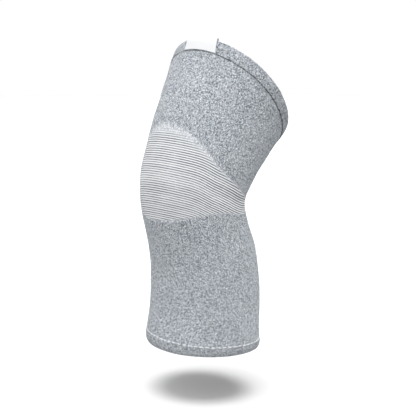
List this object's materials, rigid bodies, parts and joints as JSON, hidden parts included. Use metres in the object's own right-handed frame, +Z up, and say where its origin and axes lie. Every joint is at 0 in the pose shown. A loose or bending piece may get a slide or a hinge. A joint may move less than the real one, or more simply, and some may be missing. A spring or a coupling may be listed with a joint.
{
  "type": "knee brace",
  "caption": "Pull-on knitted knee brace in the form it takes on a bent leg, with a striped knee panel, folded hems and a bare folded label on the thigh rim.",
  "frame": {"origin": "the middle of the knee, on the centreline of the leg that the sleeve is formed on", "axes": "+Z up towards the thigh, the kneecap faces -Y, and the leg bends in the plane X = 0"},
  "size_m": [0.1552, 0.1683, 0.3489],
  "materials": {
    "heather_knit": "fine blue-grey heather knit, matte",
    "striped_knit": "pale short-row rib knit with fine grey stripes, matte",
    "hem_knit": "folded heather knit hem, matte",
    "label_weave": "white woven label, soft sheen"
  },
  "bodies": {
    "root": {"thigh_tube": "heather_knit", "knee_panel": "striped_knit", "calf_tube": "heather_knit", "top_hem": "hem_knit", "bottom_hem": "hem_knit", "label": "label_weave"}
  },
  "joints": []
}
